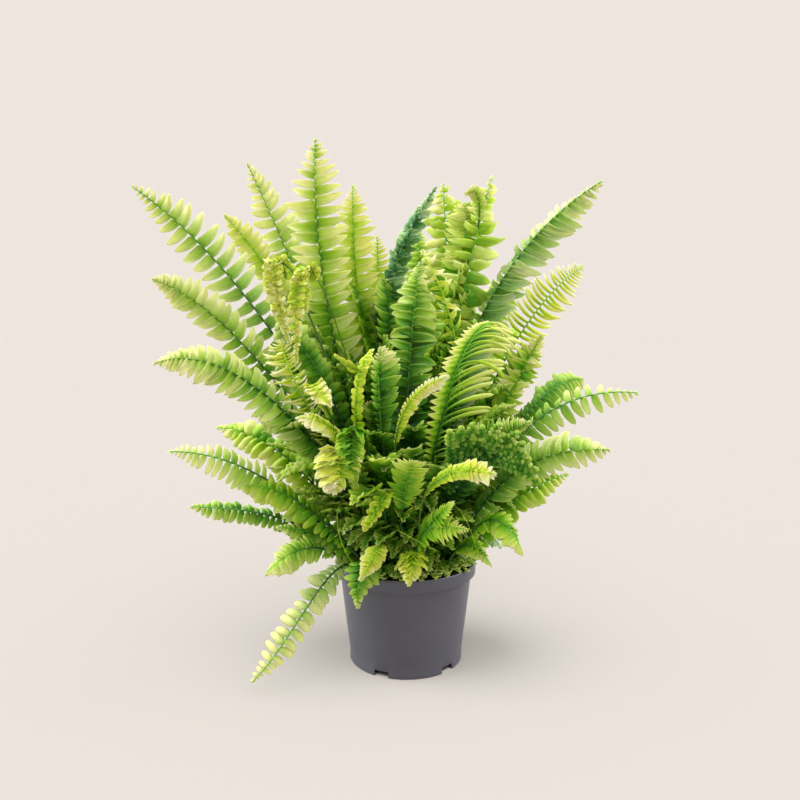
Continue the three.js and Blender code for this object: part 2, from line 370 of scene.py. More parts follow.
def makeCrown():
    rng = random.Random(crown["seed"])
    bm = bmesh.new()
    bmesh.ops.create_uvsphere(bm, u_segments=40, v_segments=16, radius=1)
    for v in bm.verts:
        x, y, z = v.co
        z = max(0, z)
        v.co = (x * crown["radius"], y * crown["radius"], crown["foot"] + z * crown["height"])
        risen = max(0, v.co.z - crown["foot"] - crown["smoothUpTo"])
        v.co.z += risen * crown["lump"] * noise.noise(v.co * crown["lumpsPerMm"])
    for _ in range(crown["scales"]):
        turn = rng.uniform(0, 2 * math.pi)
        away = math.sqrt(rng.random()) * crown["scalesWithin"]
        height = crown["foot"] + crown["height"] * math.sqrt(1 - away ** 2) - crown["scaleSunk"]
        out = away * crown["radius"]
        place = Matrix.Translation((out * math.cos(turn), out * math.sin(turn), height))
        length = rng.uniform(*crown["scaleLength"])
        lean = Matrix.Rotation(turn, 4, "Z") @ Matrix.Rotation(rng.uniform(*crown["scaleLean"]), 4, "Y")
        upright = place @ lean @ Matrix.Translation((0, 0, length / 2))
        bmesh.ops.create_cone(
            bm, cap_ends=True, segments=5, radius1=crown["scaleRadii"][0], radius2=crown["scaleRadii"][1],
            depth=length, matrix=upright @ Matrix.Diagonal((1, crown["scaleFlatness"], 1, 1)))
    return finishPiece(bm, "scaly_crown", [crownScale()], ["crown"])


makeCrown()
print("crown is made")


whorls = {
    "inner": {"radius": 10, "foot": 83},
    "middle": {"radius": 20, "foot": 81},
    "outer": {"radius": 40, "foot": 72},
}

# name, half way point, tip, lift of the foot end, side that one row of leaflets points to (azimuth from
# the front towards +X, elevation), width across the leaflets, bare part of the length, age, leaflet shape
fronds = {
    "inner": [
        ("heart", (1, -40, 226), (11, -30, 335), 0, (90, 0), 46, 0.12, "grown", "ovate"),
        ("heart_arch", (42, -30, 228), (12, -28, 343), 0, (90, 0), 16, 0.6, "young", "lance"),
        ("top_right_twisted", (34, -5, 248), (72, 10, 409), 0, (90, -10), 48, 0.12, "fresh", "finger"),
        ("top_right", (33, 20, 247), (33, 45, 410), 0, (90, 0), 42, 0.12, "fresh", "round"),
        ("top_blue", (-23, 20, 262), (25, 25, 403), 0, (70, 0), 34, 0.12, "old", "toothed"),
        ("top_middle", (-16, 40, 228), (-26, 60, 367), 0, (90, 0), 42, 0.12, "fresh", "lance"),
        ("top_second", (-35, 25, 256), (-47, 45, 409), 0, (90, 0), 42, 0.12, "fresh", "lance"),
        ("left_high", (-74, 30, 277), (-139, 40, 427), 0, (90, 30), 40, 0.12, "grown", "ovate"),
        ("tallest", (-61, 5, 273), (-77, 20, 442), 0, (90, 5), 48, 0.12, "grown", "lance"),
        ("left_long", (-111, -10, 280), (-222, -10, 397), 0, (90, 45), 44, 0.12, "grown", "ovate"),
        ("left_curl", (-94, -24, 326), (-91, -45, 271), 30, (90, 20), 18, 0.5, "young", "lobed"),
        ("left_curl_inner", (-70, -32, 321), (-84, -55, 258), 30, (90, 10), 15, 0.52, "young", "lobed"),
        ("left_curl_low", (-66, -50, 228), (-56, -80, 226), 20, (90, 20), 16, 0.4, "young", "lobed"),
        ("heart_left", (-19, -50, 200), (-20, -58, 267), 0, (80, 0), 28, 0.5, "fresh", "lobed"),
    ],
    "middle": [
        ("front_edge_lit", (-7, -66, 204), (29, -82, 247), 10, (60, -60), 15, 0.45, "young", "lobed"),
        ("right_arch", (31, -60, 228), (63, -60, 287), 0, (60, -30), 46, 0.25, "fresh", "rib"),
        ("right_arch_low", (46, -60, 172), (90, -80, 213), 0, (70, -20), 52, 0.25, "grown", "lance"),
        ("right_star", (72, 0, 195), (116, 10, 277), 0, (90, -45), 30, 0.12, "fresh", "spiky"),
        ("right_long", (58, 0, 281), (164, 10, 406), 0, (50, -25), 38, 0.12, "grown", "ovate"),
        ("right_comb", (82, 20, 247), (157, 40, 339), 0, (90, -40), 40, 0.12, "young", "comb"),
        ("back_right_tall", (60, 65, 240), (118, 130, 345), 0, (90, -20), 40, 0.12, "grown", "lance"),
        ("back_tall", (12, 75, 255), (15, 145, 385), 0, (90, 0), 42, 0.12, "grown", "lance"),
        ("back_left_tall", (-55, 65, 245), (-100, 125, 365), 0, (90, 20), 40, 0.12, "old", "lance"),
        ("left_short", (-81, 15, 268), (-155, 20, 379), 0, (90, 35), 28, 0.12, "fresh", "ovate"),
        ("left_second", (-115, -25, 251), (-201, -30, 321), 0, (100, 50), 33, 0.12, "grown", "ovate"),
        ("left_arch", (-105, -45, 226), (-191, -60, 256), 0, (150, 50), 32, 0.12, "grown", "ovate"),
        ("left_pale_comb", (-74, -38, 212), (-98, -45, 273), 10, (90, 10), 34, 0.4, "young", "comb"),
        ("front_left_curl", (-45, -55, 190), (-81, -75, 216), 10, (180, 20), 24, 0.4, "young", "lobed"),
        ("heart_yellow", (-38, -64, 205), (-26, -70, 266), 0, (50, 0), 18, 0.3, "young", "lobed"),
        ("front_left_strip", (-13, -74, 160), (-30, -95, 137), 20, (-60, -20), 13, 0.5, "young", "lobed"),
        ("front_fan", (-3, -70, 147), (4, -92, 186), 0, (90, -10), 28, 0.5, "fresh", "spiky"),
    ],
    "outer": [
        ("rim_front", (4, -68, 110), (2, -85, 93), 15, (-90, 0), 30, 0.3, "young", "toothed"),
        ("front_spiky", (13, -80, 131), (43, -98, 138), 10, (0, -70), 26, 0.2, "fresh", "spiky"),
        ("front_pale", (14, -82, 160), (62, -100, 179), 0, (0, -60), 22, 0.5, "young", "lobed"),
        ("rim_right", (46, -66, 117), (63, -81, 106), 10, (0, -20), 18, 0.3, "fresh", "lobed"),
        ("right_droop", (65, -75, 139), (85, -90, 118), 20, (0, -30), 24, 0.25, "fresh", "round"),
        ("right_broad", (76, -60, 166), (152, -70, 191), 0, (0, -62), 36, 0.12, "grown", "ovate"),
        ("right_under", (75, -30, 133), (133, -20, 163), 0, (0, -50), 28, 0.12, "fresh", "round"),
        ("right_far", (92, -30, 197), (182, -40, 232), 0, (0, -55), 34, 0.12, "grown", "finger"),
        ("right_dark", (90, -15, 200), (147, -10, 241), 0, (0, -55), 30, 0.12, "grown", "finger"),
        ("rim_right_back", (62, 5, 110), (84, 12, 92), 15, (0, 0), 22, 0.25, "old", "round"),
        ("back_right_arch", (85, 45, 190), (165, 75, 225), 10, (0, 0), 36, 0.12, "grown", "ovate"),
        ("back_right_high", (70, 85, 230), (120, 160, 285), 0, (40, 0), 38, 0.12, "grown", "ovate"),
        ("back_low", (25, 85, 150), (45, 165, 150), 20, (90, 0), 34, 0.12, "old", "ovate"),
        ("back_arch", (-5, 90, 200), (-15, 185, 240), 0, (90, 0), 38, 0.12, "grown", "ovate"),
        ("back_left_low", (-45, 80, 140), (-80, 150, 130), 20, (130, 0), 34, 0.12, "old", "ovate"),
        ("back_left_high", (-75, 75, 210), (-135, 135, 265), 0, (130, 0), 38, 0.12, "grown", "ovate"),
        ("left_back_low", (-75, 35, 125), (-125, 60, 125), 20, (180, 0), 30, 0.12, "old", "round"),
        ("left_hidden", (-93, 0, 165), (-163, 10, 198), 0, (180, 40), 34, 0.12, "fresh", "round"),
        ("left_dark", (-105, -40, 132), (-169, -50, 143), 10, (180, 45), 20, 0.12, "grown", "round"),
        ("left_fingers", (-103, -50, 160), (-178, -70, 190), 0, (180, 55), 32, 0.12, "grown", "finger"),
        ("left_droop", (-76, -65, 114), (-106, -80, 99), 12, (170, 40), 24, 0.25, "fresh", "round"),
        ("front_droop", (-67, -75, 84), (-117, -80, 15), 32, (-100, 33), 26, 0.25, "fresh", "round"),
        ("front_left_cluster", (-44, -70, 190), (-52, -90, 163), 40, (-90, 0), 34, 0.4, "young", "toothed"),
        ("rim_left", (-20, -68, 117), (-34, -86, 97), 15, (-90, 0), 17, 0.4, "young", "lobed"),
        ("rim_middle", (-31, -74, 104), (-36, -86, 76), 15, (-90, 0), 30, 0.3, "grown", "small"),
    ],
}


# a cubic curve through its half way point, with its foot end lifted
class Midrib:
    def __init__(self, foot, half, tip, lift):
        foot, half, tip = Vector(foot), Vector(half), Vector(tip)
        bend = 2 * half - 0.5 * (foot + tip)
        start = foot.lerp(bend, 2 / 3) + Vector((0, 0, lift))
        end = (8 * half - foot - 3 * start - tip) / 3
        self.points = (foot, start, end, tip)

    def at(self, u):
        a, b, c, d = self.points
        v = 1 - u
        return v ** 3 * a + 3 * v * v * u * b + 3 * v * u * u * c + u ** 3 * d

    def along(self, u):
        a, b, c, d = self.points
        v = 1 - u
        return (v * v * (b - a) + 2 * u * v * (c - b) + u * u * (d - c)).normalized()

    def length(self, steps=40):
        spots = [self.at(k / steps) for k in range(steps + 1)]
        return sum((q - p).length for p, q in zip(spots, spots[1:]))


def direction(azimuth, elevation):
    a, e = math.radians(azimuth), math.radians(elevation)
    return Vector((math.cos(e) * math.sin(a), -math.cos(e) * math.cos(a), math.sin(e)))


# Leaflet shapes, one unit long. Grid is the number of faces along and across. Base is the part of the width
# there is at the stalk, widest is where the full width comes and swell how late it comes; taper and round
# shape the end; the ear is the lobe beside the stalk on the side of the frond's tip; teeth is the number of
# teeth and tooth their depth; ruffle makes the margins wavy; cup lifts them, or lowers them when negative;
# arch lifts the middle and droop lowers the end; curl turns the leaflet towards the frond's tip, in degrees.
# How they sit: pitch is the distance to the next leaflet, fold how far both rows hang from the plane of the
# frond, forward how far they lean to its tip, roll how far each turns about itself, scatter how much these
# angles vary, and paler how much painted light lifts the leaflet's end above its painted shaded base.
plainLeaflet = {
    "grid": (8, 4), "width": 0.4, "base": 0.8, "widest": 0.3, "swell": 1, "taper": 2.6, "round": 0.7,
    "ear": 0.0, "earAt": 0.12, "earSpread": 0.09, "teeth": 0, "tooth": 0.0, "ruffle": 0.05, "cup": 0.2,
    "arch": 0.1, "droop": 0.24, "curl": 10,
    "pitch": 0.5, "fold": 8, "forward": 8, "roll": 14, "scatter": 8, "paler": 0.6,
}
leafletKinds = {
    "ovate": {"width": 0.42, "ear": 0.3, "cup": 0.3, "arch": 0.12, "curl": 14, "pitch": 0.6,
              "forward": 11},
    "lance": {"width": 0.3, "base": 0.85, "widest": 0.35, "taper": 2.4, "round": 0.85, "ear": 0.35,
              "cup": 0.3, "droop": 0.18, "curl": 16, "pitch": 0.42, "fold": 5, "forward": 6, "roll": 18,
              "scatter": 6},
    "finger": {"base": 0.55, "taper": 4.0, "round": 0.6, "ear": 0.2, "cup": -0.15, "curl": 7,
               "pitch": 0.54, "fold": 16, "forward": 3, "roll": 16, "scatter": 6, "paler": 0.5},
    "round": {"width": 0.56, "base": 0.45, "widest": 0.4, "taper": 3.2, "round": 0.5, "ear": 0.1,
              "cup": -0.25, "droop": 0.28, "curl": 6, "pitch": 0.5, "fold": 14, "roll": 16, "scatter": 12,
              "paler": 0.5},
    "small": {"grid": (5, 2), "width": 0.62, "base": 0.5, "widest": 0.35, "taper": 2.8, "round": 0.55,
              "cup": -0.3, "droop": 0.3, "curl": 6, "fold": 14, "roll": 18, "scatter": 14, "paler": 0.5},
    "rib": {"grid": (16, 2), "width": 0.13, "base": 0.28, "widest": 0.95, "swell": 3, "taper": 9.0,
            "round": 0.5, "ruffle": 0.0, "cup": -0.3, "arch": 0.45, "droop": 0.4, "curl": -88,
            "pitch": 0.2, "fold": 0, "forward": 20, "roll": 16, "scatter": 5, "paler": 0.9},
    "comb": {"grid": (8, 2), "width": 0.14, "base": 0.6, "widest": 0.4, "taper": 4.0, "ruffle": 0.02,
             "cup": -0.2, "curl": 44, "pitch": 0.3, "forward": -4, "roll": 12, "scatter": 6,
             "paler": 0.7},
    "lobed": {"grid": (6, 4), "width": 0.62, "base": 1.0, "widest": 0.05, "taper": 4.5, "round": 0.8,
              "ruffle": 0.07, "cup": 0.06, "droop": 0.2, "curl": 16, "fold": 6, "forward": 16, "roll": 5},
    "spiky": {"grid": (6, 4), "width": 0.5, "base": 1.0, "widest": 0.05, "taper": 1.7, "round": 1.0,
              "cup": 0.06, "droop": 0.12, "curl": 18, "pitch": 0.38, "fold": 4, "forward": 16, "roll": 6,
              "paler": 0.4},
    "toothed": {"grid": (12, 4), "width": 0.6, "base": 0.9, "round": 0.6, "teeth": 4, "tooth": 0.16,
                "ruffle": 0.12, "cup": 0.15, "arch": 0.15, "droop": 0.3, "curl": 16, "pitch": 0.38,
                "forward": 22, "roll": 12, "scatter": 12, "paler": 0.5},
}
leafletVariants = 6
# what each variant multiplies its droop, curl and cup by, and the degrees added to its curl
leafletSpread = {"droop": (0.2, 1.8), "curl": (0.5, 1.5), "cup": (0.4, 1.6), "turned": (-4, 4)}


def leafletMesh(kind, shape, variant, hand):
    rng = random.Random(f"{kind} {variant}")
    along, across = shape["grid"]
    droop = shape["droop"] * rng.uniform(*leafletSpread["droop"])
    curl = shape["curl"] * rng.uniform(*leafletSpread["curl"]) + rng.uniform(*leafletSpread["turned"])
    curl = math.radians(curl)
    cup = shape["cup"] * rng.uniform(*leafletSpread["cup"])
    wave = rng.uniform(0, 6.28)
    bm = bmesh.new()
    uvMap = bm.loops.layers.uv.new("leaflet")
    bmesh.ops.create_grid(bm, x_segments=along, y_segments=across, size=0.5, calc_uvs=False)
    for face in bm.faces:
        for loop in face.loops:
            loop[uvMap].uv = (loop.vert.co.x + 0.5, loop.vert.co.y + 0.5)
    for v in bm.verts:
        step = v.co.x + 0.5
        side = 2 * v.co.y  # -1 at the margin towards the frond's foot and 1 at the other
        x = step if shape["teeth"] else 0.7 * step + 0.15 * (1 - math.cos(math.pi * step))
        half = 0.5 * shape["width"] * (1 - x ** shape["taper"]) ** shape["round"]
        swelling = math.sin(min(1, x / shape["widest"]) * math.pi / 2) ** shape["swell"]
        half *= shape["base"] + (1 - shape["base"]) * swelling
        if shape["teeth"]:
            half *= 1 + shape["tooth"] * math.cos(2 * math.pi * shape["teeth"] * x)
        if side > 0:
            half *= 1 + shape["ear"] * math.exp(-((x - shape["earAt"]) / shape["earSpread"]) ** 2)
        turn = curl * x
        reach, aside = math.sin(turn) / curl, (1 - math.cos(turn)) / curl
        z = cup * (side ** 2 - 0.4) * half * 2 + shape["arch"] * (x - x * x) - droop * x * x
        ripple = math.sin(10 * x + wave + 1.4 * side)
        z += shape["ruffle"] * abs(side) * ripple * min(1, 3 * half)
        v.co = (reach - side * half * math.sin(turn), hand * (aside + side * half * math.cos(turn)), z)
    bmesh.ops.remove_doubles(bm, verts=bm.verts, dist=0.0001)
    if hand < 0:
        bmesh.ops.reverse_faces(bm, faces=bm.faces)
    mesh = bpy.data.meshes.new(f"{kind}Leaflet")
    bm.to_mesh(mesh)
    bm.free()
    return mesh


leafletSets = {}


def leafletSet(kind, hand, changes):
    # the variants of a leaflet, made when a frond first asks for them
    shape = {key: changes.get(key, value) for key, value in {**plainLeaflet, **leafletKinds[kind]}.items()}
    key = (kind, hand, *shape.values())
    if key not in leafletSets:
        leafletSets[key] = [leafletMesh(kind, shape, variant, hand) for variant in range(leafletVariants)]
    return leafletSets[key]


# Tone runs from 0, painted shade at the foot, to 1 at the newest tips. Each age has its own greens along it.
# the newest tips are paler growth, and their tone also holds painted light coming through them
leafAges = {
    "old": {"greens": [(0.0, "#174c1c"), (0.3, "#47904a"), (0.6, "#a4cc96"), (1.0, "#eaf2cc")],
            "through": 0.4, "rough": 0.34, "tone": 0.24, "tipTone": 0.5, "stalk": "#1c4226"},
    "grown": {"greens": [(0.0, "#134e06"), (0.3, "#52a01c"), (0.6, "#b4d850"), (1.0, "#f4f5b8")],
              "through": 0.4, "rough": 0.4, "tone": 0.27, "tipTone": 0.5, "stalk": "#183e1e"},
    "fresh": {"greens": [(0.0, "#1c6006"), (0.3, "#66b616"), (0.6, "#c2e246"), (1.0, "#f5f5aa")],
              "through": 0.4, "rough": 0.4, "tone": 0.33, "tipTone": 0.45, "stalk": "#24521e"},
    "young": {"greens": [(0.0, "#4f9c10"), (0.3, "#acd822"), (0.6, "#e6ee58"), (1.0, "#fdfbd8")],
              "through": 0.4, "rough": 0.46, "tone": 0.4, "tipTone": 0.35, "stalk": "#466620"},
}
leafLook = {
    # the greens of a bluish wax bloom on leaf tissue, as on a frond's older leaflets, with painted sheen
    "bloomSheenGreens": [(0.0, "#14451e"), (0.3, "#3f8a52"), (0.6, "#98cc92"), (1.0, "#e6f4ce")],
    # light that comes through a leaflet is yellower than the leaflet itself
    "throughLight": "#ecf24e",
    "throughYellower": 0.5,
    # widths are parts of the leaflet's own, from its rib at 0 to its margin at 0.5
    "ribHalf": 0.09,
    "ribPaler": 0.06,
    # the margins are painted paler, as light coming through the thin edge
    "marginFrom": 0.22,
    "marginPaintedLight": 0.17,
    "mottles": 3.85,
    "mottled": 0.16,
    # side veins stand about 1.5 mm apart, which is 75 radians of the wave over a leaflet's length
    "veins": 75.0,
    "veinSlant": -14.0,
    "ribSunk": -2.0,
    "veinsDeep": 0.15,
}


def leafTissue(age):
    # leaf tissue with a thin wax coat: a soft sheen over green that light shows through; it is paler along
    # the rib, and painted paler at the margins and newest tips, as light coming through them
    look = leafAges[age]
    material, tree, output = newMaterial(f"fern leaf tissue, {age}, waxy")
    tone = addNode(tree, "ShaderNodeAttribute", {"attribute_name": "tone"})
    uv = addNode(tree, "ShaderNodeUVMap", {"uv_map": "leaflet"})
    parts = addNode(tree, "ShaderNodeSeparateXYZ", links={"Vector": uv.outputs[0]})
    fromRib = addNode(tree, "ShaderNodeMath", {"operation": "SUBTRACT", 1: 0.5}, {0: parts.outputs["Y"]})
    fromRib = addNode(tree, "ShaderNodeMath", {"operation": "ABSOLUTE"}, {0: fromRib.outputs[0]}).outputs[0]
    rib = addNode(tree, "ShaderNodeMapRange", {
        "From Min": 0.0, "From Max": leafLook["ribHalf"], "To Min": 1.0, "To Max": 0.0}, {"Value": fromRib})
    # the margin band, painted paler as if lit through
    litMargin = addNode(tree, "ShaderNodeMapRange", {"From Min": leafLook["marginFrom"], "From Max": 0.5}, {
        "Value": fromRib})
    place = addNode(tree, "ShaderNodeTexCoord").outputs["Object"]
    mottle = addNode(tree, "ShaderNodeTexNoise", {"Scale": patternScale(leafLook["mottles"]), "Detail": 3}, {
        "Vector": place})
    lighter = addNode(tree, "ShaderNodeMath", {"operation": "MULTIPLY_ADD", 1: leafLook["ribPaler"]}, {
        0: rib.outputs[0], 2: tone.outputs["Fac"]})
    lighter = addNode(tree, "ShaderNodeMath", {"operation": "MULTIPLY_ADD", 1: leafLook["marginPaintedLight"]}, {
        0: litMargin.outputs[0], 2: lighter.outputs[0]})
    lighter = addNode(tree, "ShaderNodeMath", {"operation": "MULTIPLY_ADD", 1: leafLook["mottled"]}, {
        0: mottle.outputs[0], 2: lighter.outputs[0]})
    lighter = addNode(tree, "ShaderNodeMath", {"operation": "SUBTRACT", 1: leafLook["mottled"] / 2}, {
        0: lighter.outputs[0]})
    clean = addNode(tree, "ShaderNodeValToRGB", {"stops": look["greens"]}, {"Fac": lighter.outputs[0]})
    waxAndSheen = addNode(tree, "ShaderNodeValToRGB", {"stops": leafLook["bloomSheenGreens"]}, {
        "Fac": lighter.outputs[0]})
    # the bloom mix: the leaflet's own bluish wax, together with a painted bluish sheen
    bloom = addNode(tree, "ShaderNodeAttribute", {"attribute_name": "bloom"})
    green = addNode(tree, "ShaderNodeMix", {"data_type": "RGBA"}, {
        0: bloom.outputs["Fac"], 6: clean.outputs[0], 7: waxAndSheen.outputs[0]})
    # side veins: a fine corrugation that slants out from the rib
    veins = addNode(tree, "ShaderNodeMath", {"operation": "MULTIPLY", 1: leafLook["veins"]}, {
        0: parts.outputs["X"]})
    slant = addNode(tree, "ShaderNodeMath", {"operation": "MULTIPLY_ADD", 1: leafLook["veinSlant"]}, {
        0: fromRib, 2: veins.outputs[0]})
    ridges = addNode(tree, "ShaderNodeMath", {"operation": "SINE"}, {0: slant.outputs[0]})
    relief = addNode(tree, "ShaderNodeMath", {"operation": "MULTIPLY_ADD", 1: leafLook["ribSunk"]}, {
        0: rib.outputs[0], 2: ridges.outputs[0]})
    bump = addNode(tree, "ShaderNodeBump", {"Strength": 0.35, "Distance": leafLook["veinsDeep"] * mm}, {
        "Height": relief.outputs[0]})
    sheen = addNode(tree, "ShaderNodeBsdfPrincipled", {
        "Roughness": look["rough"], "IOR": 1.42, "Specular IOR Level": 0.35}, {
        "Base Color": green.outputs[2], "Normal": bump.outputs[0]})
    glow = addNode(tree, "ShaderNodeMix", {
        "data_type": "RGBA", 0: leafLook["throughYellower"], 7: linear(leafLook["throughLight"])}, {
        6: green.outputs[2]})
    through = addNode(tree, "ShaderNodeBsdfTranslucent", links={"Color": glow.outputs[2]})
    mixed = addNode(tree, "ShaderNodeMixShader", {0: look["through"]}, {
        1: sheen.outputs[0], 2: through.outputs[0]})
    tree.links.new(mixed.outputs[0], output.inputs[0])
    return material


stalk = {
    "footRadius": 1.0,
    "tipRadius": 0.3,
    "sides": 6,
    "stepLength": 7,
    "fewestSteps": 8,
    "mostSteps": 26,
    "streaks": 5.56,
    "streaked": 0.3,
    "greenFrom": 0.6,  # how far along it, streaks included
}


def stalkSkin(age):
    # frond stalk, smooth skin: darker than the leaflets, a little glossy, and green near the frond's tip
    material, tree, output = newMaterial(f"fern stalk, {age}, smooth")
    place = addNode(tree, "ShaderNodeTexCoord").outputs["Object"]
    streaks = addNode(tree, "ShaderNodeTexNoise", {"Scale": patternScale(stalk["streaks"]), "Detail": 2}, {
        "Vector": place})
    tone = addNode(tree, "ShaderNodeAttribute", {"attribute_name": "tone"})
    greener = addNode(tree, "ShaderNodeMath", {"operation": "MULTIPLY_ADD", 1: stalk["streaked"]}, {
        0: streaks.outputs[0], 2: tone.outputs["Fac"]})
    dark, light = leafAges[age]["stalk"], leafAges[age]["greens"][1][1]
    tint = addNode(tree, "ShaderNodeValToRGB", {"stops": [(stalk["greenFrom"], dark), (1.0, light)]}, {
        "Fac": greener.outputs[0]})
    shader = addNode(tree, "ShaderNodeBsdfPrincipled", {"Roughness": 0.4, "IOR": 1.42}, {
        "Base Color": tint.outputs[0]})
    tree.links.new(shader.outputs[0], output.inputs[0])
    return material


leafMaterials = {age: [leafTissue(age), stalkSkin(age)] for age in leafAges}


def sweepStalk(bm, midrib, thinner):
    toneLayer = bm.verts.layers.float["tone"]
    ring = bmesh.ops.create_circle(bm, cap_ends=True, segments=stalk["sides"], radius=1)["verts"]
    edges = list(ring[0].link_faces[0].edges)
    last = Matrix.Identity(4)
    steps = round(midrib.length() / stalk["stepLength"])
    steps = max(stalk["fewestSteps"], min(stalk["mostSteps"], steps))
    for k in range(steps + 1):
        u = k / steps
        radius = (stalk["footRadius"] + (stalk["tipRadius"] - stalk["footRadius"]) * u) * thinner
        turn = midrib.along(u).to_track_quat("Z", "Y").to_matrix().to_4x4()
        here = Matrix.Translation(midrib.at(u)) @ turn @ Matrix.Scale(radius, 4)
        if k:
            grown = bmesh.ops.extrude_edge_only(bm, edges=edges)["geom"]
            ring = [g for g in grown if isinstance(g, bmesh.types.BMVert)]
            edges = [g for g in grown if isinstance(g, bmesh.types.BMEdge)]
            edges = [e for e in edges if all(v in ring for v in e.verts)]
        bmesh.ops.transform(bm, matrix=here @ last.inverted(), verts=ring)
        for v in ring:
            v[toneLayer] = u
        last = here
    bmesh.ops.edgeloop_fill(bm, edges=edges)
    bmesh.ops.recalc_face_normals(bm, faces=bm.faces)
    for face in bm.faces:
        face.material_index = 1


def addLeaflet(bm, mesh, place, tone, paler, bloom):
    before = len(bm.verts)
    bm.from_mesh(mesh)
    bm.verts.ensure_lookup_table()
    new = bm.verts[before:]
    toneLayer, bloomSheenLayer = bm.verts.layers.float["tone"], bm.verts.layers.float["bloom"]
    for v in new:
        # the end painted lighter and the base darker: painted light, and painted shade between the leaflets
        v[toneLayer] = tone + paler * (v.co.x - 0.5)
        v[bloomSheenLayer] = bloom
    bmesh.ops.transform(bm, matrix=place, verts=new)


# How a frond grows unless its entry in oneOffs says otherwise: twist of the blade in degrees; how thin the
# stalk is; reach of the two rows; how much leaflets differ in tone; how far the front row leans forward and
# the other back; how much wider the leaflets are at the foot; how full the blade starts and by where it is
# full; its tip, in widths; how much painted shade darkens it deep in the plant; how much lighter each row
# is; and how much wax bloom, partly painted sheen, it has at the foot and at the tip.
plainHabit = {
    "twist": 0, "thinner": 1.0, "reach": (1.0, 1.0), "tones": 0.1, "lean": 0, "footWider": 0.15, "first": 0.4,
    "filled": 0.25, "tipRun": 1.25, "shade": 0.2, "rowTones": (0.0, 0.0), "bloom": (0.0, 0.0),
}

leafletRows = {
    "reach": 0.54,  # of one row, in widths of the frond
    "lengths": (0.88, 1.06),
    "shortest": 2.6,
    "thick": 0.28,
    "tipForward": 25,  # degrees that leaflets turn forward as the frond narrows
    "tipWider": 0.3,
    "stagger": 0.1,  # how far each row is from its place between the two, in pitches
    "tipCloser": 0.25,
    "leastStep": 1.8,
    "steps": (0.92, 1.08),
    "tipRound": 0.7,
    "foldScatter": 0.5,  # parts of the scatter in fold and in roll
    "rollScatter": 1.5,
    "end": (4, 5, 4),  # the leaflet that ends the frond
    "endBack": 2,
    "endPaler": 0.1,
}


# how full the frond is: it fills out from the first leaflets, and narrows towards its tip
def bladeProfile(s, toTip, width, habit):
    fillOut = habit["first"] + (1 - habit["first"]) * min(1, s / habit["filled"])
    return fillOut * min(1, toTip / (habit["tipRun"] * width)) ** leafletRows["tipRound"]


# the thick of the plant, darkened with painted shade: its middle in front of the crown, radius, top and fade
shadedThicket = {"front": 20, "radius": 90, "top": 330, "fade": 120}


# how deep a spot is in that painted shade, from 0 outside it to 1 at its middle and low down
def shadeDepthInPlant(spot):
    inward = max(0, 1 - math.hypot(spot.x, spot.y + shadedThicket["front"]) / shadedThicket["radius"])
    return inward * max(0, min(1, (shadedThicket["top"] - spot.z) / shadedThicket["fade"]))


def bladeFrame(midrib, u, side, twist):
    # along the stalk, across the blade, and up from its upper side
    along = midrib.along(u)
    sideways = Matrix.Rotation(math.radians(twist), 3, along) @ direction(*side)
    across = (sideways - along * sideways.dot(along)).normalized()
    return along, across, across.cross(along)


midribs = {}  # of every frond, for what grows on it


